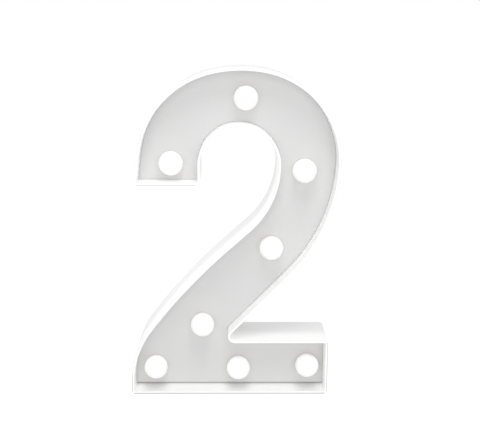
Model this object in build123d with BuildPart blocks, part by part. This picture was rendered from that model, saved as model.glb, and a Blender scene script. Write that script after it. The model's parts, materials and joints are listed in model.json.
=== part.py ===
"""Light-up marquee numeral: a free-standing white plastic figure 2 with eight globe lamps.

Millimetres, +Z up. The figure faces -Y and stands on its base bar. The origin is the middle of
the bounding box in X and Y, at the height of the surface that the figure stands on.
"""

import os
from math import cos, radians, sin, tan

from build123d import *

os.makedirs("parts", exist_ok=True)

# Overall size
height = 220.0
width = 138.0
depth = 38.0

# Outline of the figure as drawn, clockwise from the crown; it is then fitted to the overall size
crown_r = 85.0
crown_left_deg = 13.5
crown_right_deg = 11.0
right_shoulder_r = 60.0
right_shoulder_drop_deg = 3.0
bowl_r = 114.0
diagonal_right_deg = 44.0
base_height = 38.3
base_length = 132.9
heel_height = 8.3
heel_r = 62.7
heel_deg = 36.8
diagonal_r = 391.0
diagonal_left_deg = 47.9
diagonal_straight = 20.4
throat_r = 57.0
arch_r = 25.3
foot_height = 144.5
left_shoulder_r = 62.5
hook_flare_deg = 6.5
corner_r = 2.2
inner_foot_r = 3.0
crotch_r = 3.0
# Strokes of the drawn figure over the arch and to the right of it
crown_stroke = 36.978
shoulder_stroke = 40.635

# Band, panel and cover
wall = 1.8
rim_round = 0.6
recess = 13.9
panel_t = 1.6
cover_t = 1.8
ledge_w = 1.2
ledge_t = 1.6
edge_gap = 0.2

# Globe caps, and the plugs that hold a lamp in each neck
globe_r = 7.9
globe_shell = 1.0
globe_lift = 6.0
collar_r = 6.4
collar_t = 0.8
neck_r = 5.0
neck_wall = 1.0
neck_gap = 0.15
neck_tail = 1.4
snap_out = 0.4
snap_t = 0.6
snap_gap = 0.1
plug_gap = 0.1
plug_flange_t = 0.8

# Lamps
led_r = 2.5
led_length = 8.6
led_flange_r = 2.9
led_flange_t = 0.9
led_gap = 0.1
lead_side = 0.5
lead_pitch = 2.54
lead_tail = 1.6

# Wires and the resistor
wire_r = 0.7
wire_gap = 0.2
wire_leg = 6.0
wire_tail = 1.5
wire_out = 4.0
bend_share = 0.45
resistor_r = 1.2
resistor_length = 6.4
resistor_lead_r = 0.3
resistor_lead = 2.5

# Screws
screw_r = 1.3
screw_head_r = 2.5
screw_gap = 0.1
pilot_gap = 0.05
boss_r = 3.2
cover_screw_length = 12.0
pilot_spare = 2.0
cross_length = 2.6
cross_w = 0.6
cross_depth = 0.7

# Cells and the battery box on the diagonal
cell_r = 7.1
cell_length = 50.5
nub_r = 2.75
nub_t = 1.4
cell_round = 0.6
cell_gap = 0.3
box_wall = 1.3
battery_along = 31.4
diagonal_lamp_reach = 35.4
flange_w = 9.0
flange_l = 7.0
flange_t = 3.0
upper_flange_x = 10.5

# Contacts
plate_w = 11.0
plate_t = 0.4
plate_margin = 2.7
bump_r = 2.0
bump_t = 0.6
contact_gap = 0.1
spring_space = 5.0
spring_wire_r = 0.35
spring_root_r = 4.6
spring_turns = 3.25
spring_cone_deg = 18.0
spring_bite = 0.15
lug_w = 2.4
lug_out = 3.5
slot_gap = 0.2

# Battery door
door_gap = 0.25
door_corner = 1.0
tab_w = 2.6
tab_t = 1.2
tab_reach = 2.0
tab_root = 2.0
tab_gap = 0.1
tab_side_gap = 0.2
tab_swing_depth = 2.5
tongue_w = 8.0
tongue_t = 1.0
tongue_depth = 2.4
tongue_gap = 0.3
finger_r = 6.0
finger_depth = 1.0
groove_w = 0.8
groove_depth = 0.4
groove_pitch = 2.0
groove_length = 11.0
groove_count = 4
grip_inset = 5.0
arrow_side = 7.0
arrow_inset = 15.0

# Slide switch
can_l = 12.0
can_h = 6.4
can_d = 5.0
sheet_t = 0.4
ear_l = 20.4
ear_hole_x = 8.1
pin_r = 1.0
pin_gap = 0.15
pin_head_r = 1.8
pin_head_t = 0.8
pin_seat_gap = 0.05
base_t = 1.0
base_gap = 0.1
blade_w = 1.4
blade_t = 0.4
blade_pitch = 3.2
blade_tail = 3.5
blade_gap = 0.05
carriage_l = 6.0
carriage_t = 2.4
slide_gap = 0.15
slide_travel = 3.0
knob_w = 3.2
knob_h = 3.0
knob_sink = 0.2
knob_gap = 0.3
knob_groove = 0.3
dish_l = 14.0
dish_h = 8.0
dish_depth = 0.8
mark_x = 10.2
mark_h = 3.2
mark_line = 0.7
mark_depth = 0.4

# Keyhole for hanging
keyhole_drop = 24.0
keyhole_rise = 8.0
keyhole_entry_r = 4.25
keyhole_slot_r = 1.9

# Places across the figure: X as a share of half the width, Z as a share of the height
upper_lamp_shares = [(-0.601, 0.718), (0.104, 0.9115), (0.667, 0.6965)]
upper_boss_shares = [(-0.81, 0.693), (-0.435, 0.864), (0.61, 0.85), (0.71, 0.564)]
heel_boss_share = (-0.55, 0.236)
# Places in the base bar from its lower left corner: shares of the base's length and height
base_lamp_shares = [(0.1205, 0.43), (0.5451, 0.415), (0.8992, 0.46)]
base_boss_shares = [(0.3084, 0.17), (0.9444, 0.81)]
switch_share = (0.7217, 0.5)
resistor_share = (0.6246, 0.68)
# Outward bow of the wires between lamps, as a share of the straight distance
bow_shares = [0.12, 0.12, 0, 0, 0, 0, 0]
# Across the diagonal stroke from its right edge, as shares of its width
battery_across_share = 0.5073
diagonal_lamp_across_shares = (0.5, 0.396)
# Points that the leads pass between their ends, as X, Y and Z
black_lead_route = [(-28.5, 2.5, 50.5)]
battery_lead_route = [
    (-17.5, 4.4, 38.5),
    (-9.5, 3.2, 31.8),
    (3.0, 2.4, 29.3),
    (15.5, 2.6, 30.0),
    (24.3, 3.4, 26.8),
]
resistor_lead_route = [(23.9, 0.4, 22.8)]

# Levels from front to back
half_width = width / 2
rim_y = -depth / 2
panel_front_y = rim_y + recess
panel_back_y = panel_front_y + panel_t
back_y = depth / 2
cover_front_y = back_y - cover_t
globe_y = panel_front_y - globe_lift
neck_end_y = panel_back_y + neck_tail
plug_rear_y = neck_end_y + plug_flange_t
wire_y = plug_rear_y + wire_gap + wire_r


def facing(y):
    """A plane at depth y with X and Z as its axes; a negative extrusion goes back from it."""
    return Plane.XZ.offset(-y)


def on_circle(centre, radius, degrees):
    """The point at an angle on a circle of the outline."""
    return Vector(
        centre.X + radius * cos(radians(degrees)), centre.Y + radius * sin(radians(degrees))
    )


# Drawn outline: a chain of tangent arcs up the left of the stroke, then round the bowl to it
heel = JernArc((0, heel_height), (0, 1), heel_r, -heel_deg)
lower = JernArc(heel @ 1, heel % 1, diagonal_r, heel_deg - diagonal_left_deg)
upper_start = lower @ 1 + (lower % 1) * diagonal_straight
throat = JernArc(upper_start, lower % 1, throat_r, diagonal_left_deg)
arch = JernArc(throat @ 1, throat % 1, arch_r, 180)
drawn_width = (throat @ 1).X + shoulder_stroke
drawn_height = (throat @ 1).Y + arch_r + crown_stroke
run_scale = width / drawn_width
rise_scale = height / drawn_height
right_centre = Vector(
    drawn_width - right_shoulder_r,
    drawn_height - crown_r + (crown_r - right_shoulder_r) * cos(radians(crown_right_deg)),
)
crown_centre = on_circle(right_centre, right_shoulder_r - crown_r, 90 - crown_right_deg)
left_centre = on_circle(crown_centre, crown_r - left_shoulder_r, 90 + crown_left_deg)
crown = CenterArc(crown_centre, crown_r, 90 + crown_left_deg, -crown_left_deg - crown_right_deg)
right_shoulder = CenterArc(
    right_centre,
    right_shoulder_r,
    90 - crown_right_deg,
    crown_right_deg - 90 - right_shoulder_drop_deg,
)
bowl = JernArc(
    right_shoulder @ 1, right_shoulder % 1, bowl_r, right_shoulder_drop_deg - diagonal_right_deg
)
left_shoulder = CenterArc(
    left_centre, left_shoulder_r, 180 - hook_flare_deg, hook_flare_deg + crown_left_deg - 90
)
flare_drop = (left_shoulder @ 0).Y - foot_height


def placed(point):
    """A drawn point on the figure."""
    return Vector(point.X * run_scale - half_width, point.Y * rise_scale)


def onward(arc, heading):
    """A drawn arc on the figure, tangent to a heading at its start."""
    return TangentArc(placed(arc @ 0), placed(arc @ 1), tangent=heading)


# Outline of the figure: the drawn joints, with each arc and line tangent to the one before
base_right = base_length - half_width
flare_top = placed(left_shoulder @ 0)
flare_run = flare_drop * tan(radians(hook_flare_deg))
foot_left = placed((left_shoulder @ 0) - Vector(flare_run, flare_drop))
shoulder_arc = onward(left_shoulder, flare_top - foot_left)
crown_arc = onward(crown, shoulder_arc % 1)
right_arc = onward(right_shoulder, crown_arc % 1)
bowl_arc = onward(bowl, right_arc % 1)
bowl_end = bowl_arc @ 1
diagonal_up = -(bowl_arc % 1)
crotch = bowl_end - diagonal_up * ((bowl_end.Y - base_height) / diagonal_up.Y)
heel_arc = onward(heel, (0, 1))
lower_arc = onward(lower, heel_arc % 1)
upper_heading = lower_arc % 1
upper_length = (placed(upper_start) - placed(lower @ 1)).length
straight_end = lower_arc @ 1 + upper_heading * upper_length
throat_reach = placed(throat @ 1).X - straight_end.X
throat_arc = JernArc(
    straight_end,
    upper_heading,
    throat_reach / (1 - upper_heading.Y),
    upper_heading.get_angle(Vector(0, 1)),
)
arch_arc = JernArc(throat_arc @ 1, (0, 1), arch_r * run_scale, 180)
foot_right = Vector((arch_arc @ 1).X, foot_left.Y)
foot = (-half_width, 0)
outline = [
    crown_arc,
    right_arc,
    bowl_arc,
    Line(bowl_end, crotch),
    Line(crotch, (base_right, base_height)),
    Line((base_right, base_height), (base_right, 0)),
    Line((base_right, 0), foot),
    Line(foot, heel_arc @ 0),
    heel_arc,
    lower_arc,
    Line(lower_arc @ 1, straight_end),
    throat_arc,
    arch_arc,
    Line(arch_arc @ 1, foot_right),
    Line(foot_right, foot_left),
    Line(foot_left, flare_top),
    shoulder_arc,
]
outer_corners = [
    (foot_left, corner_r),
    ((base_right, base_height), corner_r),
    ((base_right, 0), corner_r),
    (foot, corner_r),
    (foot_right, inner_foot_r),
]


def inward(edge, share):
    """The direction into the figure at a share of an edge's length."""
    heading = edge % share
    return Vector(heading.Y, -heading.X)


def figure(amount):
    """The figure drawn in by an amount all round, with its corners rounded to match."""
    joints = []
    for before, after in zip(outline[-1:] + outline[:-1], outline):
        arriving, leaving = inward(before, 1), inward(after, 0)
        mitre = amount / (1 + arriving.dot(leaving))
        joints.append(after @ 0 + (arriving + leaving) * mitre)
    with BuildSketch() as drawn_in:
        with BuildLine():
            for edge, start, end in zip(outline, joints, joints[1:] + joints[:1]):
                if edge.geom_type == GeomType.LINE:
                    Line(start, end)
                else:
                    ThreePointArc(start, edge @ 0.5 + inward(edge, 0.5) * amount, end)
        make_face()
        for corner, radius in outer_corners:
            if radius - amount > edge_gap / 2:
                fillet(drawn_in.vertices().sort_by_distance(corner)[0], radius - amount)
        fillet(drawn_in.vertices().sort_by_distance(crotch)[0], crotch_r + amount)
    return drawn_in.sketch


def inset(amount, mode=Mode.ADD):
    """The figure drawn in by an amount, for the sketch that is open."""
    add(figure(amount), mode=mode)


# The battery's own frame: up along the diagonal stroke, and across it towards the lower right
diagonal_across = Vector(diagonal_up.Y, -diagonal_up.X)
stroke_w = (crotch - straight_end).dot(diagonal_across)
battery_centre = (
    crotch + diagonal_up * battery_along - diagonal_across * stroke_w * battery_across_share
)


def battery_plane(y):
    """A plane at depth y, centred on the battery, with its Y axis up along the diagonal."""
    return Plane(
        origin=(battery_centre.X, y, battery_centre.Y),
        x_dir=(diagonal_across.X, 0, diagonal_across.Y),
        z_dir=(0, -1, 0),
    )


def on_figure(share):
    """A place from its shares of half the width and of the height."""
    return Vector(share[0] * half_width, share[1] * height)


def on_base(share):
    """A place from its shares of the base's length and height."""
    return Vector(share[0] * base_length - half_width, share[1] * base_height)


hook_lamp, crown_lamp, shoulder_lamp = [on_figure(share) for share in upper_lamp_shares]
heel_lamp, middle_lamp, toe_lamp = [on_base(share) for share in base_lamp_shares]
upper_diagonal_lamp, lower_diagonal_lamp = [
    crotch
    + diagonal_up * (battery_along + reach)
    - diagonal_across * stroke_w * across_share
    for reach, across_share in zip(
        (diagonal_lamp_reach, -diagonal_lamp_reach), diagonal_lamp_across_shares
    )
]
lamp_places = [
    hook_lamp,
    crown_lamp,
    shoulder_lamp,
    upper_diagonal_lamp,
    lower_diagonal_lamp,
    heel_lamp,
    middle_lamp,
    toe_lamp,
]
boss_places = [on_figure(share) for share in upper_boss_shares + [heel_boss_share]]
boss_places += [on_base(share) for share in base_boss_shares]
switch_place = on_base(switch_share)

# Side wall: a band with a rounded front rim and two inner ledges
with BuildPart() as side_wall:
    with BuildSketch(facing(rim_y)):
        inset(0)
        inset(wall, Mode.SUBTRACT)
    extrude(amount=-depth)
    fillet(side_wall.faces().sort_by(Axis.Y)[0].edges(), rim_round)
    for ledge_y in (panel_back_y, cover_front_y - ledge_t):
        with BuildSketch(facing(ledge_y)):
            inset(wall / 2)
            inset(wall + ledge_w, Mode.SUBTRACT)
        extrude(amount=-ledge_t)
side_wall.part.label = "side_wall"
export_step(side_wall.part, "parts/side_wall.step")

# Front panel: the sunken plate, with a hole for each neck and bosses for the cover's screws
pilot_r = screw_r + pilot_gap
pilot_depth = cover_screw_length - cover_t + pilot_spare
with BuildPart() as front_panel:
    with BuildSketch(facing(panel_front_y)):
        inset(wall + edge_gap)
        with Locations(*lamp_places):
            Circle(neck_r + neck_gap, mode=Mode.SUBTRACT)
    extrude(amount=-panel_t)
    with BuildSketch(facing(cover_front_y)):
        with Locations(*boss_places):
            Circle(boss_r)
    extrude(amount=cover_front_y - panel_back_y)
    with BuildSketch(facing(cover_front_y)):
        with Locations(*boss_places):
            Circle(pilot_r)
    extrude(amount=pilot_depth, mode=Mode.SUBTRACT)
front_panel.part.label = "front_panel"
export_step(front_panel.part, "parts/front_panel.step")


def lamp_section(place):
    """The level plane through a lamp's axis: X is the radius and Y the depth."""
    return Plane(origin=(place.X, 0, place.Y))


def lamp_axis(place):
    """The axis that a lamp's pieces are turned about."""
    return Axis((place.X, 0, place.Y), (0, 1, 0))


def disc(radius, front, back, mode=Mode.ADD):
    """In a lamp's section, a disc about its axis between two depths."""
    with Locations((0, front)):
        Rectangle(2 * radius, back - front, align=(Align.CENTER, Align.MIN), mode=mode)


def keep_one_side():
    """Cut a lamp's section off at its axis, ready to be turned."""
    Rectangle(depth, depth, align=(Align.MAX, Align.CENTER), mode=Mode.SUBTRACT)


# Globe caps: a hollow globe with a collar on the panel and a neck that snaps through it
for number, place in enumerate(lamp_places, start=1):
    with BuildPart() as bulb_cap:
        with BuildSketch(lamp_section(place)):
            with Locations((0, globe_y)):
                Circle(globe_r)
            disc(globe_r, panel_front_y, back_y, Mode.SUBTRACT)
            disc(collar_r, panel_front_y - collar_t, panel_front_y)
            disc(neck_r, panel_front_y, neck_end_y)
            snap_front_y = panel_back_y + snap_gap
            disc(neck_r + neck_gap + snap_out, snap_front_y, snap_front_y + snap_t)
            with Locations((0, globe_y)):
                Circle(globe_r - globe_shell, mode=Mode.SUBTRACT)
            disc(neck_r - neck_wall, globe_y, neck_end_y, Mode.SUBTRACT)
            keep_one_side()
        revolve(axis=lamp_axis(place))
    bulb_cap.part.label = f"bulb_cap_{number}"
    export_step(bulb_cap.part, f"parts/bulb_cap_{number}.step")

# Lamp plugs: a flanged sleeve in each neck, bored for the lamp
for number, place in enumerate(lamp_places, start=1):
    with BuildPart() as lamp_plug:
        with BuildSketch(lamp_section(place)):
            disc(neck_r - neck_wall - plug_gap, panel_front_y, neck_end_y)
            disc(neck_r, neck_end_y, plug_rear_y)
            disc(led_r + led_gap, panel_front_y, plug_rear_y, Mode.SUBTRACT)
            disc(led_flange_r + led_gap, plug_rear_y - led_flange_t, plug_rear_y, Mode.SUBTRACT)
            keep_one_side()
        revolve(axis=lamp_axis(place))
    lamp_plug.part.label = f"lamp_plug_{number}"
    export_step(lamp_plug.part, f"parts/lamp_plug_{number}.step")


def travel(number):
    """The direction of the string of wires as it passes a lamp."""
    before = lamp_places[max(number - 1, 0)]
    here = lamp_places[number]
    after = lamp_places[min(number + 1, len(lamp_places) - 1)]
    total = Vector(0, 0)
    for run in (here - before, after - here):
        if run.length > 0:
            total += run.normalized()
    return total.normalized()


def left_of(direction):
    """The direction a quarter turn to the left."""
    return Vector(-direction.Y, direction.X)


# Lamps: a domed body with a flange, and two leads set across the string
led_tip_y = plug_rear_y - led_length
for number, place in enumerate(lamp_places, start=1):
    across = left_of(travel(number - 1)) * (lead_pitch / 2)
    with BuildPart() as led:
        with BuildSketch(lamp_section(place)):
            with Locations((0, led_tip_y + led_r)):
                Circle(led_r)
            disc(led_r, led_tip_y + led_r, plug_rear_y)
            disc(led_flange_r, plug_rear_y - led_flange_t, plug_rear_y)
            keep_one_side()
        revolve(axis=lamp_axis(place))
        with BuildSketch(facing(plug_rear_y)):
            with Locations(place + across, place - across):
                Rectangle(lead_side, lead_side)
        extrude(amount=-lead_tail)
    led.part.label = f"led_{number}"
    export_step(led.part, f"parts/led_{number}.step")

# Cells, side by side on the diagonal, head to tail
cell_x = cell_r + cell_gap / 2
cell_y = cover_front_y - cell_gap - cell_r
box_inner_w = 4 * cell_r + 3 * cell_gap
box_inner_l = cell_length + spring_space + 2 * plate_t
box_outer_w = box_inner_w + 2 * box_wall
box_outer_l = box_inner_l + 2 * box_wall
box_inner_floor_y = cell_y - cell_r - cell_gap
box_floor_y = box_inner_floor_y - box_wall
nub_end = box_inner_l / 2 - plate_t - bump_t - contact_gap
cell_tail = nub_end - cell_length
cell_profile = [
    (0, cell_tail),
    (cell_r, cell_tail),
    (cell_r, nub_end - nub_t),
    (nub_r, nub_end - nub_t),
    (nub_r, nub_end),
    (0, nub_end),
]
for number, side in ((1, -1), (2, 1)):
    with BuildPart() as cell:
        with BuildSketch(battery_plane(cell_y)):
            with BuildLine():
                Polyline(
                    *[(side * cell_x + radius, -side * along) for radius, along in cell_profile],
                    close=True,
                )
            make_face()
        centre = battery_plane(cell_y).from_local_coords((side * cell_x, 0))
        revolve(axis=Axis(centre, (diagonal_up.X, 0, diagonal_up.Y)))
        rims = cell.edges().filter_by(GeomType.CIRCLE).group_by(lambda edge: edge.radius)[-1]
        fillet(rims, cell_round)
    cell.part.label = f"cell_{number}"
    export_step(cell.part, f"parts/cell_{number}.step")

# Battery box: an open tray against the cover, with end flanges and notches for the door's tabs
wall_middle = box_inner_l / 2 + box_wall / 2
flange_end = box_outer_l / 2 + flange_l / 2
flange_places = [(0, -flange_end), (-upper_flange_x, flange_end), (upper_flange_x, flange_end)]
tab_x = box_inner_w / 2 - tab_side_gap - tab_w / 2
tab_places = [(-tab_x, -wall_middle), (tab_x, -wall_middle)]
plate_floor_y = box_inner_floor_y + plate_margin
with BuildPart() as battery_box:
    with BuildSketch(battery_plane(cover_front_y)):
        Rectangle(box_outer_w, box_outer_l)
    extrude(amount=cover_front_y - box_floor_y)
    with BuildSketch(battery_plane(cover_front_y)):
        Rectangle(box_inner_w, box_inner_l)
    extrude(amount=cover_front_y - box_inner_floor_y, mode=Mode.SUBTRACT)
    with BuildSketch(battery_plane(cover_front_y)):
        with Locations(*flange_places):
            Rectangle(flange_w, flange_l)
            Circle(pilot_r, mode=Mode.SUBTRACT)
    extrude(amount=flange_t)
    with BuildSketch(battery_plane(cover_front_y)):
        with Locations(*tab_places):
            Rectangle(tab_w + 2 * tab_side_gap, box_wall)
    extrude(amount=tab_swing_depth, mode=Mode.SUBTRACT)
    with BuildSketch(battery_plane(plate_floor_y + plate_t + slot_gap)):
        with Locations((-cell_x, -wall_middle), (cell_x, -wall_middle)):
            Rectangle(lug_w + 2 * slot_gap, box_wall)
    extrude(amount=plate_t + 2 * slot_gap, mode=Mode.SUBTRACT)
battery_box.part.label = "battery_box"
export_step(battery_box.part, "parts/battery_box.step")

# Battery door: a plate flush in the cover, with two tabs that it tilts on and a far tongue
opening_w = box_inner_w + box_wall
opening_l = box_inner_l + box_wall
door_w = opening_w - 2 * door_gap
door_l = opening_l - 2 * door_gap
door_foot = [(-tab_x, -door_l / 2), (tab_x, -door_l / 2)]
grip_y = door_l / 2 - grip_inset
with BuildPart() as battery_door:
    with BuildSketch(battery_plane(back_y)):
        RectangleRounded(door_w, door_l, door_corner)
    extrude(amount=cover_t)
    with BuildSketch(battery_plane(cover_front_y)):
        with Locations(*door_foot):
            Rectangle(tab_w, tab_root, align=(Align.CENTER, Align.MIN))
    extrude(amount=tab_t)
    with BuildSketch(battery_plane(cover_front_y - tab_gap)):
        with Locations(*door_foot):
            Rectangle(tab_w, tab_reach, align=(Align.CENTER, Align.MAX))
    extrude(amount=tab_t - tab_gap)
    with BuildSketch(battery_plane(cover_front_y)):
        with Locations((0, box_inner_l / 2 - tongue_gap)):
            Rectangle(tongue_w, tongue_t, align=(Align.CENTER, Align.MAX))
    extrude(amount=tongue_depth)
    with BuildSketch(battery_plane(back_y)):
        for groove in range(groove_count):
            with Locations((0, grip_y - groove * groove_pitch)):
                SlotOverall(groove_length, groove_w)
        with Locations((0, grip_y - arrow_inset)):
            Triangle(a=arrow_side, b=arrow_side, c=arrow_side)
    extrude(amount=groove_depth, mode=Mode.SUBTRACT)
battery_door.part.label = "battery_door"
export_step(battery_door.part, "parts/battery_door.step")

# Contacts: plates on the end walls, with a bump for a cell's head or a spring for its tail
plate_h = cover_front_y - box_inner_floor_y - 2 * plate_margin
plate_face = box_inner_l / 2 - plate_t
spring_height = spring_space - bump_t - 2 * contact_gap - 2 * spring_wire_r + spring_bite


def plate_plane(x, end):
    """A plane on a contact plate's face, centred on a cell and looking at it."""
    centre = battery_plane(cell_y).from_local_coords((x, end * plate_face))
    return Plane(origin=centre, z_dir=(-end * diagonal_up.X, 0, -end * diagonal_up.Y))


def contact(name, end, middle, across, bump_x=None, spring_x=None, lug_x=None):
    """A plate on an end wall, -1 lower and 1 upper, with its bump, spring and lug if any."""
    with BuildPart() as piece:
        with BuildSketch(battery_plane(plate_floor_y + plate_h)):
            with Locations((middle, end * (plate_face + plate_t / 2))):
                Rectangle(across, plate_t)
        extrude(amount=plate_h)
        if bump_x is not None:
            with BuildSketch(plate_plane(bump_x, end)):
                Circle(bump_r)
            extrude(amount=bump_t)
        if lug_x is not None:
            with BuildSketch(battery_plane(plate_floor_y + plate_t)):
                with Locations((lug_x, -plate_face)):
                    Rectangle(
                        lug_w, plate_t + box_wall + lug_out, align=(Align.CENTER, Align.MAX)
                    )
            extrude(amount=plate_t)
        if spring_x is not None:
            bed = plate_plane(spring_x, end).offset(spring_wire_r - spring_bite)
            with BuildLine():
                coil = Helix(
                    pitch=spring_height / spring_turns,
                    height=spring_height,
                    radius=spring_root_r,
                    center=bed.origin,
                    direction=bed.z_dir,
                    cone_angle=-spring_cone_deg,
                )
            with BuildSketch(Plane(origin=coil @ 0, z_dir=coil % 0)):
                Circle(spring_wire_r)
            sweep(is_frenet=True)
    piece.part.label = name
    export_step(piece.part, f"parts/{name}.step")


contact("contact_negative", -1, -cell_x, plate_w, spring_x=-cell_x, lug_x=-cell_x)
contact("contact_positive", -1, cell_x, plate_w, bump_x=cell_x, lug_x=cell_x)
contact("contact_bridge", 1, 0, plate_w + 2 * cell_x, bump_x=-cell_x, spring_x=cell_x)


def switch_plane(y):
    """A plane at depth y centred on the switch, with X and Z as its axes."""
    return Plane(origin=(switch_place.X, y, switch_place.Y), x_dir=(1, 0, 0), z_dir=(0, -1, 0))


# Slide switch: a sheet can with ears, its floor, three terminals and the sliding knob
can_inner_l = can_l - 2 * sheet_t
can_inner_h = can_h - 2 * sheet_t
can_end_y = cover_front_y - can_d
slot_l = knob_w + slide_travel + 2 * knob_gap
slot_h = knob_h + 2 * knob_gap
ear_places = [(-ear_hole_x, 0), (ear_hole_x, 0)]
terminal_places = [(-blade_pitch, 0), (0, 0), (blade_pitch, 0)]
with BuildPart() as switch_frame:
    with BuildSketch(switch_plane(cover_front_y)):
        Rectangle(ear_l, can_h)
        with Locations(*ear_places):
            Circle(pin_r + pin_gap, mode=Mode.SUBTRACT)
    extrude(amount=sheet_t)
    with BuildSketch(switch_plane(cover_front_y)):
        Rectangle(can_l, can_h)
    extrude(amount=can_d)
    with BuildSketch(switch_plane(cover_front_y - sheet_t)):
        Rectangle(can_inner_l, can_inner_h)
    extrude(amount=can_d - sheet_t, mode=Mode.SUBTRACT)
    with BuildSketch(switch_plane(cover_front_y)):
        Rectangle(slot_l, slot_h)
    extrude(amount=sheet_t, mode=Mode.SUBTRACT)
switch_frame.part.label = "switch_frame"
export_step(switch_frame.part, "parts/switch_frame.step")

with BuildPart() as switch_base:
    with BuildSketch(switch_plane(can_end_y + base_t)):
        Rectangle(can_inner_l - 2 * base_gap, can_inner_h - 2 * base_gap)
        with Locations(*terminal_places):
            Rectangle(blade_w + 2 * blade_gap, blade_t + 2 * blade_gap, mode=Mode.SUBTRACT)
    extrude(amount=base_t)
switch_base.part.label = "switch_base"
export_step(switch_base.part, "parts/switch_base.step")

with BuildPart() as switch_terminals:
    with BuildSketch(switch_plane(can_end_y + base_t + blade_t)):
        with Locations(*terminal_places):
            Rectangle(blade_w, blade_t)
    extrude(amount=blade_t + base_t + blade_tail)
switch_terminals.part.label = "switch_terminals"
export_step(switch_terminals.part, "parts/switch_terminals.step")

carriage_y = cover_front_y - sheet_t - slide_gap
knob_top_y = back_y - knob_sink
knob_rest = -slide_travel / 2
with BuildPart() as switch_slider:
    with BuildSketch(switch_plane(carriage_y)):
        with Locations((knob_rest, 0)):
            Rectangle(carriage_l, can_inner_h - 2 * slide_gap)
    extrude(amount=carriage_t)
    with BuildSketch(switch_plane(knob_top_y)):
        with Locations((knob_rest, 0)):
            Rectangle(knob_w, knob_h)
    extrude(amount=knob_top_y - carriage_y)
    with BuildSketch(switch_plane(knob_top_y)):
        for groove in (-1, 0, 1):
            with Locations((knob_rest + 2 * groove * knob_groove, 0)):
                Rectangle(knob_groove, knob_h)
    extrude(amount=knob_groove, mode=Mode.SUBTRACT)
switch_slider.part.label = "switch_slider"
export_step(switch_slider.part, "parts/switch_slider.step")


def rear_plane(place):
    """A plane on the cover's rear face at a place of the figure, looking out behind it."""
    return Plane(origin=(place.X, back_y, place.Y), x_dir=(-1, 0, 0), z_dir=(0, 1, 0))


def beside_battery(place):
    """A place of the figure from its place in the battery's own frame."""
    return battery_centre + diagonal_across * place[0] + diagonal_up * place[1]


# Back cover: flush in the band, with a battery opening, a switch dish, a keyhole and screw seats
box_screw_places = [beside_battery(place) for place in flange_places]
keyhole_x = placed(crown_centre).X
keyhole_place = (keyhole_x, height - keyhole_drop)
slot_place = (keyhole_x, height - keyhole_drop + keyhole_rise / 2)
with BuildPart() as back_cover:
    with BuildSketch(facing(cover_front_y)):
        inset(wall + edge_gap)
        with Locations(keyhole_place):
            Circle(keyhole_entry_r, mode=Mode.SUBTRACT)
        with Locations(slot_place):
            SlotCenterToCenter(
                keyhole_rise, 2 * keyhole_slot_r, rotation=90, mode=Mode.SUBTRACT
            )
    extrude(amount=-cover_t)
    with BuildSketch(battery_plane(back_y)):
        RectangleRounded(opening_w, opening_l, door_corner + door_gap)
    extrude(amount=cover_t, mode=Mode.SUBTRACT)
    with BuildSketch(battery_plane(back_y)):
        with Locations((0, opening_l / 2)):
            Circle(finger_r)
    extrude(amount=finger_depth, mode=Mode.SUBTRACT)
    with BuildSketch(switch_plane(back_y)):
        SlotOverall(dish_l, dish_h)
    extrude(amount=dish_depth, mode=Mode.SUBTRACT)
    with BuildSketch(switch_plane(back_y)):
        Rectangle(slot_l, slot_h)
    extrude(amount=cover_t, mode=Mode.SUBTRACT)
    with BuildSketch(switch_plane(back_y)):
        with Locations((-mark_x, 0)):
            Circle(mark_h / 2)
            Circle(mark_h / 2 - mark_line, mode=Mode.SUBTRACT)
        with Locations((mark_x, 0)):
            SlotOverall(mark_h, mark_line, rotation=90)
    extrude(amount=mark_depth, mode=Mode.SUBTRACT)
    with Locations(*[rear_plane(place) for place in boss_places + box_screw_places]):
        CounterSinkHole(
            screw_r + screw_gap, screw_head_r + screw_gap, cover_t, counter_sink_angle=90
        )
    with BuildSketch(switch_plane(cover_front_y)):
        with Locations(*ear_places):
            Circle(pin_r)
    extrude(amount=sheet_t + pin_seat_gap + pin_head_t)
    with BuildSketch(switch_plane(cover_front_y - sheet_t - pin_seat_gap)):
        with Locations(*ear_places):
            Circle(pin_head_r)
    extrude(amount=pin_head_t)
back_cover.part.label = "back_cover"
export_step(back_cover.part, "parts/back_cover.step")


def screws(places, length):
    """Countersunk cross-head screws, flush in the cover."""
    flush = (Align.CENTER, Align.CENTER, Align.MAX)
    with Locations(*[rear_plane(place) for place in places]):
        Cone(screw_r, screw_head_r, screw_head_r - screw_r, align=flush)
        Cylinder(screw_r, length, align=flush)
        Box(cross_length, cross_w, cross_depth, align=flush, mode=Mode.SUBTRACT)
        Box(cross_w, cross_length, cross_depth, align=flush, mode=Mode.SUBTRACT)


with BuildPart() as cover_screws:
    screws(boss_places, cover_screw_length)
cover_screws.part.label = "cover_screws"
export_step(cover_screws.part, "parts/cover_screws.step")

with BuildPart() as box_screws:
    screws(box_screw_places, cover_t + flange_t)
box_screws.part.label = "box_screws"
export_step(box_screws.part, "parts/box_screws.step")

# Resistor, along the top of the base between the switch and the middle lamp
resistor_place = on_base(resistor_share)
resistor_reach = resistor_length / 2 + resistor_lead
with BuildPart() as series_resistor:
    with Locations(Plane(origin=(resistor_place.X, wire_y, resistor_place.Y), z_dir=(1, 0, 0))):
        Cylinder(resistor_r, resistor_length)
        Cylinder(resistor_lead_r, 2 * resistor_reach)
series_resistor.part.label = "series_resistor"
export_step(series_resistor.part, "parts/series_resistor.step")


def bend_radii(route):
    """An arc for each corner of a route, as large as the shorter run beside it allows."""
    points = [Vector(*point) for point in route]
    runs = [after - before for before, after in zip(points, points[1:])]
    return [
        bend_share * min(run.length, following.length) / tan(radians(run.get_angle(following)) / 2)
        for run, following in zip(runs, runs[1:])
    ]


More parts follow.
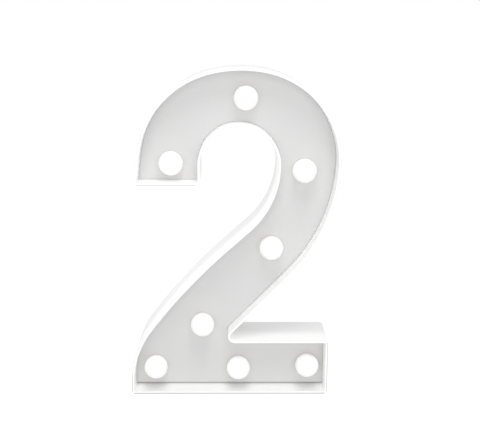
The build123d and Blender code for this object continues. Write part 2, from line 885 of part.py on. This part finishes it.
def wire(name, *routes):
    """A wire of straight runs and tangent arcs, with a branch for each further route."""
    swept = 0
    with BuildPart() as piece:
        for route in routes:
            with BuildLine():
                path = FilletPolyline(*route, radius=bend_radii(route))
            with BuildSketch(Plane(origin=path @ 0, z_dir=path % 0)):
                section = Circle(wire_r)
            sweep()
            swept += section.area * path.length
            print(name, "radii", [round(radius, 1) for radius in bend_radii(route)])
    print(name, "volume", round(piece.part.volume, 1), "section by length", round(swept, 1))
    piece.part.label = name
    export_step(piece.part, f"parts/{name}.step")


def at_depth(place, y):
    """A point over a place of the figure, at a depth."""
    return (place.X, y, place.Y)


def beside_lamp(number, side, along):
    """A point of the string beside a lamp: side 1 is the left of its travel, -1 the right."""
    out = side * (lead_pitch / 2 + lead_side / 2 + wire_gap + wire_r)
    heading = travel(number)
    return lamp_places[number] + left_of(heading) * out + heading * along


def string_route(side):
    """The string's route on one side of the lamps, from the hook's lamp to the toe's."""
    points = [beside_lamp(0, side, -wire_tail)]
    for number, bow_share in enumerate(bow_shares):
        leave = beside_lamp(number, side, wire_leg)
        arrive = beside_lamp(number + 1, side, -wire_leg)
        points.append(leave)
        if bow_share > 0:
            points.append((leave + arrive) / 2 + left_of(arrive - leave) * bow_share)
        points.append(arrive)
    points.append(beside_lamp(len(bow_shares), side, wire_tail))
    return [at_depth(point, wire_y) for point in points]


def lug_route(x):
    """The end of a contact's lug, and a point straight out from it."""
    lug_end = -(plate_face + plate_t + box_wall + lug_out)
    lug_y = plate_floor_y + plate_t / 2
    return [at_depth(beside_battery((x, lug_end - out)), lug_y) for out in (0, wire_out)]


def terminal_route(x):
    """The tip of a switch terminal, and a point straight out from it."""
    tip_y = can_end_y - blade_tail
    return [(switch_place.X + x, tip_y - out, switch_place.Y) for out in (0, wire_out)]


# Wires: one string for each pole, and the leads to the battery box, the switch and the resistor
right_end = (resistor_place.X + resistor_reach, wire_y, resistor_place.Y)
before_right_end = (resistor_place.X + resistor_reach + wire_out, wire_y, resistor_place.Y)
left_end = (resistor_place.X - resistor_reach, wire_y, resistor_place.Y)
red_joint = beside_lamp(lamp_places.index(middle_lamp), 1, 0)
black_joint = beside_lamp(lamp_places.index(lower_diagonal_lamp), -1, 0)
wire(
    "wire_red",
    string_route(1),
    [left_end, (red_joint.X, wire_y, resistor_place.Y), at_depth(red_joint, wire_y)],
)
wire(
    "wire_black",
    string_route(-1),
    lug_route(-cell_x) + black_lead_route + [at_depth(black_joint, wire_y)],
)
wire(
    "wire_battery_to_switch",
    lug_route(cell_x) + battery_lead_route + terminal_route(0)[::-1],
)
wire(
    "wire_switch_to_resistor",
    terminal_route(-blade_pitch) + resistor_lead_route + [before_right_end, right_end],
)
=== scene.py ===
"""Light-up marquee numeral 2: finishes, lights and camera on its fixed frame.

Metres, +Z up. The lamps face -Y and the battery cover faces +Y.
"""

import json
from math import cos, radians, sin

import bmesh
import bpy
from mathutils import Matrix, Vector


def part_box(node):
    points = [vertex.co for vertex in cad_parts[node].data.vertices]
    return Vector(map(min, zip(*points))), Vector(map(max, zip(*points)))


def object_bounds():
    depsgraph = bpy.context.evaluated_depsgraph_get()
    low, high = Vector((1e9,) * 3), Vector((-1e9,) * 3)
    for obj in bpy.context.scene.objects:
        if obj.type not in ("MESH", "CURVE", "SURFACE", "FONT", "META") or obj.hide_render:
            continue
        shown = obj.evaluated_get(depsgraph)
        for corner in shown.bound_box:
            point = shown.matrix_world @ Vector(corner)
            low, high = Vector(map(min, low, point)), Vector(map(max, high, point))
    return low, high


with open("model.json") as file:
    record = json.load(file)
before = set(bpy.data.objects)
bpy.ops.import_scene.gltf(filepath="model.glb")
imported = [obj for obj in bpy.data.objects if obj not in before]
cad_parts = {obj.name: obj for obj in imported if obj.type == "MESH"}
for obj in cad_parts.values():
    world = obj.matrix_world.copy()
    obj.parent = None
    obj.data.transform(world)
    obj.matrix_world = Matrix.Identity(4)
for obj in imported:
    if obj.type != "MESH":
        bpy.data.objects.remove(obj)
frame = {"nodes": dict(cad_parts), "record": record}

cad_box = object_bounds()
nodes = frame["nodes"]
record = frame["record"]
millimetre = 0.001
# Half the width of the soft step at the edge of a mark
soft_edge = 0.06 * millimetre


def middle(corners):
    """The point halfway between two corners, as its X, Y and Z."""
    return [(low + high) / 2 for low, high in zip(*corners)]


# Places on the band and the panel
left_x, rim_y = cad_box[0][0], cad_box[0][1]
panel_face_y, panel_foot_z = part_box("front_panel")[0][1:]
base_right_x = 63.9 * millimetre
base_top_z = 38.3 * millimetre
hook_foot_z = 144.5 * millimetre
hook_right_x = -26.0 * millimetre
joint_and_shade_width = 0.8 * millimetre
recess_floor_top = 3.0 * millimetre
glow_behind_panel = 7.0 * millimetre

# The painted shade on the lip's round, and the painted shadow under a low globe
lip_depth = 0.75 * millimetre
sole_edge = 0.7 * millimetre
end_edge = 0.5 * millimetre
hook_foot_half = 0.6 * millimetre
shade_core = 3.0 * millimetre
shade_reach = 12.0 * millimetre

# The two cells: the middle of the pair, its lean, and each cell's axis beside that middle
cell_middles = [middle(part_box(cell)) for cell in ("cell_1", "cell_2")]
battery_middle_x, cell_axis_y, battery_middle_z = middle(cell_middles)
battery_lean = radians(44.0)
cell_row = 7.25 * millimetre

# Marks on a cell's sleeve, from the cell's middle towards its plus end
silver_band_start = 12.0 * millimetre
silver_line = 10.4 * millimetre
silver_line_half = 0.45 * millimetre
plus_place = 18.5 * millimetre
minus_place = -18.0 * millimetre
mark_half_length = 2.1 * millimetre
mark_half_width = 0.55 * millimetre
sleeve_plus_end = 25.2 * millimetre
sleeve_minus_end = -23.0 * millimetre

# The resistor's rings, by their place from its middle in millimetres
brown, black, gold = (0.22, 0.1, 0.03), (0.02, 0.02, 0.02), (0.6, 0.45, 0.12)
resistor_rings = {-1.9: brown, -0.9: black, 0.1: brown, 1.7: gold}
ring_half = 0.28 * millimetre
resistor_half = 3.2 * millimetre

# The strength of the lamps' light and of the band's painted glow, the joint's grey with painted
# shade in it, and the tones of marks and bare metal
lamp_and_painted_glow_strength = 0.16
unlit = (0.0, 0.0, 0.0)
joint_and_shade_grey = (0.4, 0.4, 0.4)
tinned = (0.75, 0.75, 0.74)
bare_steel = (0.74, 0.74, 0.73)
silver_print, pale_print = (0.66, 0.68, 0.69), (0.72, 0.74, 0.75)
blue_print = (0.04, 0.09, 0.15)
white = (1.0, 1.0, 1.0, 1.0)


# Shader helpers

def new_group(name, inputs, outputs):
    """A shader group with named values, its input node and its output node."""
    group = bpy.data.node_groups.new(name, "ShaderNodeTree")
    for label, value in inputs.items():
        socket = group.interface.new_socket(
            name=label, in_out="INPUT", socket_type="NodeSocketFloat"
        )
        socket.default_value = value
    for label in outputs:
        group.interface.new_socket(name=label, in_out="OUTPUT", socket_type="NodeSocketFloat")
    return group, group.nodes.new("NodeGroupInput"), group.nodes.new("NodeGroupOutput")


def math_node(tree, operation, first, second, clamp=False):
    """One sum on values or sockets, as a socket."""
    node = tree.nodes.new("ShaderNodeMath")
    node.operation = operation
    node.use_clamp = clamp
    for slot, value in enumerate((first, second)):
        if isinstance(value, (int, float)):
            node.inputs[slot].default_value = value
        else:
            tree.links.new(value, node.inputs[slot])
    return node.outputs[0]


def noise_node(tree, vector, scale, detail=2.0, roughness=0.5):
    """A noise texture's value on a vector, as a socket; scale is in turns per metre."""
    node = tree.nodes.new("ShaderNodeTexNoise")
    node.inputs["Detail"].default_value = detail
    node.inputs["Roughness"].default_value = roughness
    tree.links.new(vector, node.inputs["Vector"])
    if isinstance(scale, (int, float)):
        node.inputs["Scale"].default_value = scale
    else:
        tree.links.new(scale, node.inputs["Scale"])
    return node.outputs["Fac"]


def object_vector(tree):
    """The point on the piece, as a socket."""
    return tree.nodes.new("ShaderNodeTexCoord").outputs["Object"]


def object_axes(tree):
    """The point on the piece, as its X, Y and Z sockets."""
    parts = tree.nodes.new("ShaderNodeSeparateXYZ")
    tree.links.new(object_vector(tree), parts.inputs["Vector"])
    return parts.outputs["X"], parts.outputs["Y"], parts.outputs["Z"]


def distance(tree, value, place):
    """How far a value is from a place, on either side."""
    return math_node(tree, "ABSOLUTE", math_node(tree, "SUBTRACT", value, place), 0.0)


def above(tree, value, edge):
    """One where a value is over the edge and nothing under it, with a short soft step."""
    step = tree.nodes.new("ShaderNodeMapRange")
    step.inputs["From Min"].default_value = edge - soft_edge
    step.inputs["From Max"].default_value = edge + soft_edge
    tree.links.new(value, step.inputs["Value"])
    return step.outputs["Result"]


def below(tree, value, edge):
    """One where a value is under the edge, and nothing over it."""
    return math_node(tree, "SUBTRACT", 1.0, above(tree, value, edge))


def within(tree, value, place, reach):
    """One where a value is within reach of a place, on either side."""
    return below(tree, distance(tree, value, place), reach)


def both(tree, first, second):
    """One where both masks are one."""
    return math_node(tree, "MULTIPLY", first, second)


def ramp_node(tree, value, stops):
    """A colour ramp through (place, colour) stops, as a socket."""
    node = tree.nodes.new("ShaderNodeValToRGB")
    elements = node.color_ramp.elements
    while len(elements) < len(stops):
        elements.new(1.0)
    for element, (place, colour) in zip(elements, stops):
        element.position = place
        element.color = (*colour, 1.0)
    tree.links.new(value, node.inputs["Fac"])
    return node.outputs["Color"]


def lay_over(tree, socket, mask, colour):
    """Lays a colour where the mask is, over what already feeds a socket."""
    under = socket.links[0].from_socket
    mix = tree.nodes.new("ShaderNodeMix")
    mix.data_type = "RGBA"
    tree.links.new(mask, mix.inputs["Factor"])
    tree.links.new(under, mix.inputs["A"])
    mix.inputs["B"].default_value = (*colour, 1.0)
    tree.links.new(mix.outputs["Result"], socket)


def varied_roughness(group, noise, given, result):
    """Sends out a group's roughness, moved up and down by a noise over its spread."""
    centred = math_node(group, "SUBTRACT", noise, 0.5)
    offset = math_node(group, "MULTIPLY", centred, given.outputs["Spread"])
    varied = math_node(group, "ADD", given.outputs["Roughness"], offset, clamp=True)
    group.links.new(varied, result.inputs["Roughness"])


def make_moulded_skin():
    """Moulded plastic: slow drift in tone, a rippled gloss, and a grained or rippled height."""
    group, given, result = new_group(
        "moulded skin",
        {
            "Grain Scale": 2400.0,
            "Ripple Scale": 210.0,
            "Grain Share": 0.3,
            "Roughness": 0.4,
            "Spread": 0.1,
        },
        ["Drift", "Roughness", "Height"],
    )
    point = object_vector(group)
    drift = noise_node(group, point, scale=26.0, detail=3.0)
    grain = noise_node(group, point, given.outputs["Grain Scale"], detail=3.0, roughness=0.6)
    ripple = noise_node(group, point, given.outputs["Ripple Scale"], detail=1.0)
    smear = noise_node(group, point, scale=95.0, detail=4.0, roughness=0.65)
    fine = math_node(group, "MULTIPLY", grain, given.outputs["Grain Share"])
    coarse_share = math_node(group, "SUBTRACT", 1.0, given.outputs["Grain Share"])
    coarse = math_node(group, "MULTIPLY", ripple, coarse_share)
    group.links.new(math_node(group, "ADD", fine, coarse), result.inputs["Height"])
    varied_roughness(group, smear, given, result)
    group.links.new(drift, result.inputs["Drift"])
    return group


def make_drawn_metal():
    """Rolled or drawn metal: streaks along one axis in its tone, gloss and height."""
    group, given, result = new_group(
        "drawn metal",
        {"Streak Scale": 900.0, "Stretch": 0.06, "Roughness": 0.3, "Spread": 0.2},
        ["Drift", "Roughness", "Height"],
    )
    point = object_vector(group)
    squeeze = group.nodes.new("ShaderNodeMapping")
    squeeze.inputs["Rotation"].default_value = (0.0, radians(46.0), 0.0)
    group.links.new(point, squeeze.inputs["Vector"])
    axes = group.nodes.new("ShaderNodeCombineXYZ")
    axes.inputs["Y"].default_value = 1.0
    axes.inputs["Z"].default_value = 1.0
    group.links.new(given.outputs["Stretch"], axes.inputs["X"])
    group.links.new(axes.outputs["Vector"], squeeze.inputs["Scale"])
    streak = noise_node(
        group, squeeze.outputs["Vector"], given.outputs["Streak Scale"], detail=3.0
    )
    cloud = noise_node(group, point, scale=240.0, detail=3.0)
    varied_roughness(group, streak, given, result)
    group.links.new(streak, result.inputs["Height"])
    group.links.new(cloud, result.inputs["Drift"])
    return group


def make_battery_axes():
    """Places on the battery: along the two cells, across them, and in depth."""
    group, _, result = new_group("battery axes", {}, ["Along", "Across", "Depth"])
    x, y, z = object_axes(group)
    from_x = math_node(group, "SUBTRACT", x, battery_middle_x)
    from_z = math_node(group, "SUBTRACT", z, battery_middle_z)
    rise, run = sin(battery_lean), cos(battery_lean)
    along = math_node(
        group,
        "ADD",
        math_node(group, "MULTIPLY", from_x, rise),
        math_node(group, "MULTIPLY", from_z, run),
    )
    across = math_node(
        group,
        "SUBTRACT",
        math_node(group, "MULTIPLY", from_x, run),
        math_node(group, "MULTIPLY", from_z, rise),
    )
    group.links.new(along, result.inputs["Along"])
    group.links.new(across, result.inputs["Across"])
    group.links.new(y, result.inputs["Depth"])
    return group


moulded_skin = make_moulded_skin()
drawn_metal = make_drawn_metal()
battery_axes = make_battery_axes()


def new_material(name, group, values, light, dark, depth):
    """A material whose tone, gloss and bump come from a group, with its shader and tree."""
    material = bpy.data.materials.new(name)
    material.use_nodes = True
    tree = material.node_tree
    shader = tree.nodes["Principled BSDF"]
    skin = tree.nodes.new("ShaderNodeGroup")
    skin.node_tree = group
    for label, value in values.items():
        skin.inputs[label].default_value = value
    tone = ramp_node(tree, skin.outputs["Drift"], [(0.3, dark), (0.7, light)])
    tree.links.new(tone, shader.inputs["Base Color"])
    tree.links.new(skin.outputs["Roughness"], shader.inputs["Roughness"])
    bump = tree.nodes.new("ShaderNodeBump")
    bump.inputs["Strength"].default_value = 1.0
    bump.inputs["Distance"].default_value = depth
    tree.links.new(skin.outputs["Height"], bump.inputs["Height"])
    tree.links.new(bump.outputs["Normal"], shader.inputs["Normal"])
    return material, shader, tree


def plastic(name, light, dark, roughness, grain_share, depth):
    """A moulded plastic finish."""
    values = {"Roughness": roughness, "Grain Share": grain_share}
    return new_material(name, moulded_skin, values, light, dark, depth)[0]


def metal(name, light, dark, roughness, streak_scale, depth=0.004 * millimetre):
    """A bare or plated metal finish."""
    values = {"Roughness": roughness, "Streak Scale": streak_scale}
    material, shader, _ = new_material(name, drawn_metal, values, light, dark, depth)
    shader.inputs["Metallic"].default_value = 1.0
    return material


def coat(shader, weight, roughness):
    """A clear gloss over a material."""
    shader.inputs["Coat Weight"].default_value = weight
    shader.inputs["Coat Roughness"].default_value = roughness


# Finishes

def lamp_light_and_painted_glow(tree, shader, stops, start_y=panel_face_y):
    """Glow through (place, colour) stops from a start in depth to the rim: the globes' own lamp
    light, and on the band a painted glow.
    """
    _, y, _ = object_axes(tree)
    reach = tree.nodes.new("ShaderNodeMapRange")
    reach.inputs["From Min"].default_value = start_y
    reach.inputs["From Max"].default_value = rim_y
    tree.links.new(y, reach.inputs["Value"])
    glow = ramp_node(tree, reach.outputs["Result"], stops)
    tree.links.new(glow, shader.inputs["Emission Color"])
    shader.inputs["Emission Strength"].default_value = lamp_and_painted_glow_strength


def globe_finish():
    """Frosted white plastic, lit from within and fuller towards its crown."""
    material, shader, tree = new_material(
        "globe frosted",
        moulded_skin,
        {"Roughness": 0.42, "Grain Share": 0.85, "Grain Scale": 3200.0},
        light=(0.97, 0.965, 0.95),
        dark=(0.95, 0.945, 0.925),
        depth=0.006 * millimetre,
    )
    lamp_light_and_painted_glow(
        tree,
        shader,
        [(0.0, (0.6, 0.56, 0.5)), (0.35, (0.9, 0.88, 0.83)), (1.0, (1.0, 0.99, 0.97))],
    )
    shader.inputs["Subsurface Weight"].default_value = 0.2
    shader.inputs["Subsurface Radius"].default_value = (1.0, 0.95, 0.85)
    shader.inputs["Subsurface Scale"].default_value = 3.0 * millimetre
    return material


def shade_lip(tree, shader):
    """Paints shade into the lip's round where it turns down and sideways, so that it shows on
    white.
    """
    x, y, z = object_axes(tree)
    lip = below(tree, y, rim_y + lip_depth)
    sole = below(tree, z, sole_edge)
    left_end = below(tree, x, left_x + end_edge)
    right_end = both(
        tree, above(tree, x, base_right_x - end_edge), below(tree, z, base_top_z)
    )
    hook_foot = both(
        tree, within(tree, z, hook_foot_z, hook_foot_half), below(tree, x, hook_right_x)
    )
    # Painted shade: each edge of the lip's round gets a darker grey in its colour
    for edge, grey in ((left_end, 0.5), (right_end, 0.5), (hook_foot, 0.62), (sole, 0.24)):
        lay_over(tree, shader.inputs["Base Color"], both(tree, edge, lip), (grey, grey, grey))


def shade_under_globes(tree, shader):
    """Paints the globes' shadows on the recess's floor, by taking the band's painted glow off
    where the three lowest globes hang.
    """
    x, y, z = object_axes(tree)
    floor = both(tree, below(tree, z, recess_floor_top), above(tree, y, rim_y + lip_depth))
    shade = 0.0
    for globe in ("bulb_cap_6", "bulb_cap_7", "bulb_cap_8"):
        globe_x = middle(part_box(globe))[0]
        fade = tree.nodes.new("ShaderNodeMapRange")
        fade.interpolation_type = "SMOOTHSTEP"
        fade.inputs["From Min"].default_value = shade_reach
        fade.inputs["From Max"].default_value = shade_core
        tree.links.new(distance(tree, x, globe_x), fade.inputs["Value"])
        shade = math_node(tree, "MAXIMUM", fade.outputs["Result"], shade)
    # Painted shadow: no painted glow under the three lowest globes
    lay_over(tree, shader.inputs["Emission Color"], both(tree, shade, floor), unlit)


def wall_finish():
    """Glossy white band, whose front part glows with painted light, with painted shade on the
    lip's round and painted shadows under the low globes.
    """
    material, shader, tree = new_material(
        "wall white",
        moulded_skin,
        {"Roughness": 0.36, "Grain Share": 0.15},
        light=(0.885, 0.885, 0.882),
        dark=(0.87, 0.87, 0.867),
        depth=0.01 * millimetre,
    )
    coat(shader, weight=0.1, roughness=0.25)
    # The band's glow is painted light; its two unlit stops are the lip's round, which turns away
    # from the lamps, left as painted shade
    lamp_light_and_painted_glow(
        tree,
        shader,
        [
            (0.0, (0.05, 0.05, 0.05)),
            (0.335, (0.6, 0.595, 0.59)),
            (0.55, (0.88, 0.875, 0.87)),
            (0.954, (0.98, 0.975, 0.97)),
            (0.967, unlit),
            (0.987, unlit),
            (1.0, (1.0, 0.995, 0.985)),
        ],
        start_y=panel_face_y + glow_behind_panel,
    )
    shade_lip(tree, shader)
    shade_under_globes(tree, shader)
    return material


def panel_finish():
    """Matt grey-white panel whose grey is partly painted shade of the recess, with a dark line
    where its foot meets the band that is partly a joint and partly painted shade.
    """
    material, shader, tree = new_material(
        "panel white",
        moulded_skin,
        {"Roughness": 0.5, "Grain Share": 0.5},
        # The panel's grey, darker than the band, is partly its own tone and partly painted shade
        # of the recess
        light=(0.7, 0.699, 0.699),
        dark=(0.682, 0.68, 0.68),
        depth=0.008 * millimetre,
    )
    _, _, z = object_axes(tree)
    # Dark line at the foot: partly the joint, partly painted shade in the crease
    foot = below(tree, z, panel_foot_z + joint_and_shade_width)
    lay_over(tree, shader.inputs["Base Color"], foot, joint_and_shade_grey)
    return material


def cell_finish():
    """Printed sleeve with a silver band and polarity marks, and bare steel at both ends."""
    material, shader, tree = new_material(
        "cell wrap",
        moulded_skin,
        {"Roughness": 0.28, "Grain Share": 0.05},
        light=(0.035, 0.085, 0.15),
        dark=(0.03, 0.075, 0.135),
        depth=0.004 * millimetre,
    )
    coat(shader, weight=0.4, roughness=0.2)
    axes = tree.nodes.new("ShaderNodeGroup")
    axes.node_tree = battery_axes
    across = axes.outputs["Across"]
    # The cells point opposite ways, one on each side of the pair's middle
    side = math_node(tree, "SIGN", across, 0.0)
    turned = math_node(tree, "MULTIPLY", side, -1.0)
    along = math_node(tree, "MULTIPLY", axes.outputs["Along"], turned)
    off_axis = distance(tree, distance(tree, across, 0.0), cell_row)
    outward = above(tree, axes.outputs["Depth"], cell_axis_y)

    def sleeve_mark(mask, colour):
        lay_over(tree, shader.inputs["Base Color"], mask, colour)

    def stroke(place, half_length, half_width):
        return both(
            tree, within(tree, along, place, half_length), below(tree, off_axis, half_width)
        )

    band = above(tree, along, silver_band_start)
    line = within(tree, along, silver_line, silver_line_half)
    sleeve_mark(math_node(tree, "ADD", band, line, clamp=True), silver_print)
    upright = stroke(plus_place, mark_half_length, mark_half_width)
    crossing = stroke(plus_place, mark_half_width, mark_half_length)
    plus = math_node(tree, "MAXIMUM", upright, crossing)
    sleeve_mark(both(tree, plus, outward), blue_print)
    minus = stroke(minus_place, mark_half_width, mark_half_length)
    sleeve_mark(both(tree, minus, outward), pale_print)
    plus_end = above(tree, along, sleeve_plus_end)
    minus_end = below(tree, along, sleeve_minus_end)
    ends = math_node(tree, "ADD", plus_end, minus_end, clamp=True)
    sleeve_mark(ends, bare_steel)
    tree.links.new(ends, shader.inputs["Metallic"])
    return material


def tin_leads(tree, shader, leads):
    """Bright tinned wire where the mask is."""
    lay_over(tree, shader.inputs["Base Color"], leads, tinned)
    tree.links.new(leads, shader.inputs["Metallic"])


def lamp_finish():
    """Clear warm resin, with tinned leads behind the plug."""
    material, shader, tree = new_material(
        "lamp resin",
        moulded_skin,
        {"Roughness": 0.2, "Grain Share": 0.05},
        light=(0.95, 0.9, 0.72),
        dark=(0.92, 0.86, 0.66),
        depth=0.004 * millimetre,
    )
    coat(shader, weight=0.5, roughness=0.1)
    _, y, _ = object_axes(tree)
    plug_back_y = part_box("lamp_plug_1")[1][1]
    tin_leads(tree, shader, above(tree, y, plug_back_y))
    return material


def resistor_finish():
    """Coated body with four colour rings, and tinned leads at its ends."""
    material, shader, tree = new_material(
        "resistor coat",
        moulded_skin,
        {"Roughness": 0.38, "Grain Share": 0.3},
        light=(0.68, 0.56, 0.36),
        dark=(0.62, 0.51, 0.32),
        depth=0.01 * millimetre,
    )
    middle_x = middle(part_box("series_resistor"))[0]
    x, _, _ = object_axes(tree)
    for place, colour in resistor_rings.items():
        ring = within(tree, x, middle_x + place * millimetre, ring_half)
        lay_over(tree, shader.inputs["Base Color"], ring, colour)
    tin_leads(tree, shader, above(tree, distance(tree, x, middle_x), resistor_half))
    return material


finishes = {
    "wall_white": wall_finish(),
    "panel_white": panel_finish(),
    "cover_white": plastic(
        "cover white",
        light=(0.89, 0.89, 0.88),
        dark=(0.875, 0.875, 0.865),
        roughness=0.55,
        grain_share=0.9,
        depth=0.03 * millimetre,
    ),
    "box_white": plastic(
        "box white",
        light=(0.86, 0.86, 0.85),
        dark=(0.83, 0.83, 0.82),
        roughness=0.5,
        grain_share=0.5,
        depth=0.01 * millimetre,
    ),
    "globe_frosted": globe_finish(),
    "plug_plastic": plastic(
        "plug natural",
        light=(0.82, 0.81, 0.77),
        dark=(0.78, 0.77, 0.73),
        roughness=0.45,
        grain_share=0.3,
        depth=0.01 * millimetre,
    ),
    "led_epoxy": lamp_finish(),
    "cell_wrap": cell_finish(),
    "contact_metal": metal(
        "contact nickel",
        light=(0.78, 0.77, 0.74),
        dark=(0.68, 0.67, 0.63),
        roughness=0.26,
        streak_scale=1400.0,
    ),
    "switch_metal": metal(
        "switch sheet",
        light=(0.74, 0.75, 0.76),
        dark=(0.64, 0.65, 0.66),
        roughness=0.32,
        streak_scale=1100.0,
    ),
    "switch_board": plastic(
        "switch laminate",
        light=(0.42, 0.27, 0.15),
        dark=(0.35, 0.22, 0.12),
        roughness=0.5,
        grain_share=0.6,
        depth=0.01 * millimetre,
    ),
    "switch_knob": plastic(
        "switch knob",
        light=(0.045, 0.045, 0.048),
        dark=(0.035, 0.035, 0.037),
        roughness=0.42,
        grain_share=0.8,
        depth=0.02 * millimetre,
    ),
    "screw_metal": metal(
        "screw zinc",
        light=(0.7, 0.7, 0.71),
        dark=(0.58, 0.58, 0.6),
        roughness=0.34,
        streak_scale=1600.0,
    ),
    "wire_red": plastic(
        "wire red",
        light=(0.62, 0.035, 0.025),
        dark=(0.54, 0.03, 0.02),
        roughness=0.35,
        grain_share=0.1,
        depth=0.01 * millimetre,
    ),
    "wire_black": plastic(
        "wire black",
        light=(0.03, 0.03, 0.03),
        dark=(0.022, 0.022, 0.022),
        roughness=0.35,
        grain_share=0.1,
        depth=0.01 * millimetre,
    ),
    "resistor_body": resistor_finish(),
}
for subpart in record["subparts"]:
    node = nodes[subpart["node"]]
    node.data.materials.clear()
    node.data.materials.append(finishes[subpart["material_slot"]])


# Floor and background

def seen_directly(tree):
    """One for the camera and for reflections, and nothing for other light."""
    path = tree.nodes.new("ShaderNodeLightPath")
    seen = math_node(
        tree, "MAXIMUM", path.outputs["Is Camera Ray"], path.outputs["Is Glossy Ray"]
    )
    return math_node(tree, "MAXIMUM", seen, path.outputs["Is Transmission Ray"])


def white_to_the_eye(tree, surface, keep, lift):
    """Shows a surface to the camera and in reflections as keep of itself plus a lift to white."""
    light = tree.nodes.new("ShaderNodeEmission")
    light.inputs["Strength"].default_value = lift
    dim = tree.nodes.new("ShaderNodeMixShader")
    dim.inputs["Fac"].default_value = 1.0 - keep
    black_light = tree.nodes.new("ShaderNodeEmission")
    black_light.inputs["Strength"].default_value = 0.0
    tree.links.new(surface, dim.inputs[1])
    tree.links.new(black_light.outputs["Emission"], dim.inputs[2])
    total = tree.nodes.new("ShaderNodeAddShader")
    tree.links.new(dim.outputs["Shader"], total.inputs[0])
    tree.links.new(light.outputs["Emission"], total.inputs[1])
    choice = tree.nodes.new("ShaderNodeMixShader")
    tree.links.new(seen_directly(tree), choice.inputs["Fac"])
    tree.links.new(surface, choice.inputs[1])
    tree.links.new(total.outputs["Shader"], choice.inputs[2])
    return choice.outputs["Shader"]


def make_floor(half_width=6.0, tone=0.85):
    """A wide white floor under the figure, which keeps a faint shadow."""
    shape = bmesh.new()
    bmesh.ops.create_grid(shape, x_segments=1, y_segments=1, size=half_width)
    mesh = bpy.data.meshes.new("floor")
    shape.to_mesh(mesh)
    shape.free()
    floor = bpy.data.objects.new("floor", mesh)
    bpy.context.scene.collection.objects.link(floor)
    material = bpy.data.materials.new("floor white")
    material.use_nodes = True
    tree = material.node_tree
    tree.nodes.remove(tree.nodes["Principled BSDF"])
    matte = tree.nodes.new("ShaderNodeBsdfDiffuse")
    matte.inputs["Color"].default_value = (tone, tone, tone, 1.0)
    shown = white_to_the_eye(tree, matte.outputs["BSDF"], keep=0.22, lift=0.9)
    tree.links.new(shown, tree.nodes["Material Output"].inputs["Surface"])
    mesh.materials.append(material)


def make_sky(strength=0.64):
    """Even soft light all round, white where the camera or a reflection sees it."""
    world = bpy.data.worlds.new("studio")
    world.use_nodes = True
    tree = world.node_tree
    brightness = tree.nodes.new("ShaderNodeMapRange")
    brightness.inputs["To Min"].default_value = strength
    brightness.inputs["To Max"].default_value = 1.0
    tree.links.new(seen_directly(tree), brightness.inputs["Value"])
    background = tree.nodes["Background"]
    background.inputs["Color"].default_value = white
    tree.links.new(brightness.outputs["Result"], background.inputs["Strength"])
    bpy.context.scene.world = world


def add_softbox(name, place, size, power):
    """A rectangular soft light, aimed at the figure, that the camera doesn't see."""
    lamp = bpy.data.lights.new(name, "AREA")
    lamp.shape = "RECTANGLE"
    lamp.size, lamp.size_y = size
    lamp.energy = power
    softbox = bpy.data.objects.new(name, lamp)
    aim = Vector(middle(cad_box)) - Vector(place)
    turn = aim.to_track_quat("-Z", "Y").to_matrix().to_4x4()
    softbox.matrix_world = Matrix.Translation(place) @ turn
    softbox.visible_camera = False
    bpy.context.scene.collection.objects.link(softbox)


def add_camera(place, pitch, yaw, roll, lens_length):
    """The photograph's view: from the front, a little above and to the left."""
    forward = Vector((sin(yaw) * cos(pitch), cos(yaw) * cos(pitch), -sin(pitch)))
    level = Vector((cos(yaw), -sin(yaw), 0.0))
    upright = level.cross(forward)
    across = level * cos(roll) + upright * sin(roll)
    up = upright * cos(roll) - level * sin(roll)
    lens = bpy.data.cameras.new("camera")
    lens.sensor_width = 36.0
    lens.lens = lens_length
    lens.clip_start = 0.01
    lens.clip_end = 50.0
    camera = bpy.data.objects.new("camera", lens)
    turn = Matrix((across, up, -forward)).transposed().to_4x4()
    camera.matrix_world = Matrix.Translation(place) @ turn
    bpy.context.scene.collection.objects.link(camera)
    bpy.context.scene.camera = camera


make_floor()
make_sky()
add_softbox("key light", place=(0.05, -0.34, 0.78), size=(0.34, 0.34), power=1.55)
add_softbox("front light", place=(0.0, -1.6, 0.25), size=(1.6, 1.2), power=9.2)
add_softbox("back light", place=(-1.0, 1.3, 0.5), size=(0.8, 0.8), power=3.5)
add_camera(
    place=(-0.00607, -0.58078, 0.25327),
    pitch=radians(12.955),
    yaw=radians(1.001),
    roll=radians(0.3755),
    lens_length=66.321,
)
bpy.context.scene.view_settings.view_transform = "Standard"
